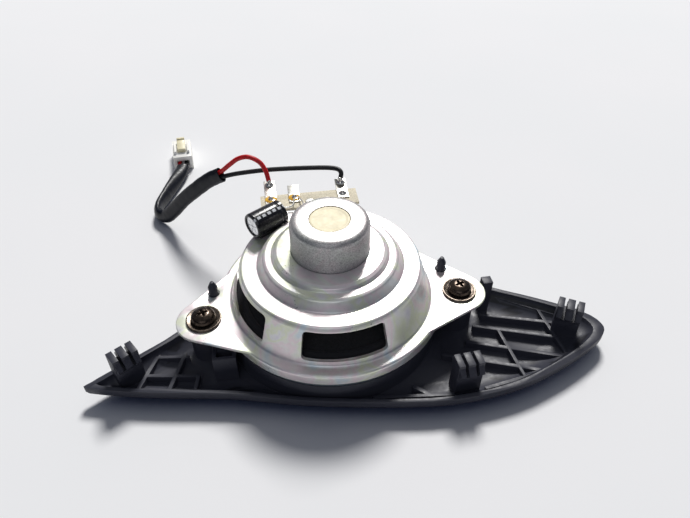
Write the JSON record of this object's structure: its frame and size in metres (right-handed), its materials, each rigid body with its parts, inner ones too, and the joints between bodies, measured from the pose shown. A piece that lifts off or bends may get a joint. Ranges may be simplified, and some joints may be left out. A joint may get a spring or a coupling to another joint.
{
  "type": "dashboard tweeter",
  "caption": "Small paper-cone dashboard loudspeaker screwed to its moulded corner grille, with a blocking capacitor, a sleeved two-wire lead and a white plug.",
  "frame": {"origin": "centre of the grille panel, at its lowest face", "axes": "+Z along the loudspeaker axis from the grille towards the motor; X along the two mounting screws; the lead leaves towards +Y"},
  "size_m": [0.165, 0.1619, 0.0451],
  "materials": {
    "panel_plastic": "fine grained moulding",
    "cloth": "woven scrim",
    "gasket_foam": "soft foam",
    "basket_zinc": "zinc passivated",
    "pot_zinc": "grainy zinc plate",
    "plug_cream": "smooth",
    "magnet_black": "sintered, plated",
    "plate_steel": "plated",
    "former_film": "film",
    "copper": "enamelled wire",
    "spider_cloth": "resin dipped",
    "cone_paper": "pressed paper",
    "surround_cloth": "coated cloth",
    "tinsel": "braided",
    "board": "laminate",
    "tinned": "tinned",
    "rivet": "satin",
    "solder": "solder with flux",
    "can": "satin",
    "cap_sleeve": "shrink sleeve",
    "bung": "moulded",
    "adhesive": "black adhesive",
    "screw_black": "black zinc",
    "washer_bronze": "black zinc",
    "red_pvc": "wire insulation",
    "black_pvc": "wire insulation",
    "sleeve_pvc": "soft tubing",
    "connector_nylon": "natural nylon",
    "contact_tin": "tinned"
  },
  "bodies": {
    "frame": {"grille_panel": "panel_plastic", "grille_cloth": "cloth", "speaker_gasket": "gasket_foam", "basket": "basket_zinc", "motor_pot": "pot_zinc", "pot_plug": "plug_cream", "magnet": "magnet_black", "pole_plate": "plate_steel", "yoke_ring": "plate_steel", "spider": "spider_cloth", "surround": "surround_cloth", "tinsel_leads": "tinsel", "terminal_board": "board", "terminal_tags": "tinned", "board_rivets": "rivet", "solder_joints": "solder", "capacitor_can": "can", "capacitor_sleeve": "cap_sleeve", "capacitor_bung": "bung", "capacitor_leads": "tinned", "adhesive_pad": "adhesive", "mounting_screws": "screw_black", "screw_washers": "washer_bronze", "red_wire": "red_pvc", "black_wire": "black_pvc", "wire_sleeve": "sleeve_pvc", "connector_housing": "connector_nylon", "connector_contacts": "contact_tin"},
    "diaphragm": {"cone": "cone_paper", "dust_cap": "cone_paper", "coil_former": "former_film", "coil_winding": "copper"},
    "latch": {"connector_latch": "connector_nylon"}
  },
  "joints": [
    {"name": "cone_travel", "type": "slide", "parent": "frame", "child": "diaphragm", "axis": [0, 0, 1], "range_m": [-0.0008, 0.0008], "stiffness_N_per_m": 1500, "deforming": ["surround", "spider", "tinsel_leads"]},
    {"name": "latch_press", "type": "hinge", "parent": "frame", "child": "latch", "pos_m": [-0.05907, 0.10888, 0.0071], "axis": [0.9962, 0.0872, 0], "range_deg": [-5, 0], "stiffness_Nm_per_rad": 0.05}
  ]
}
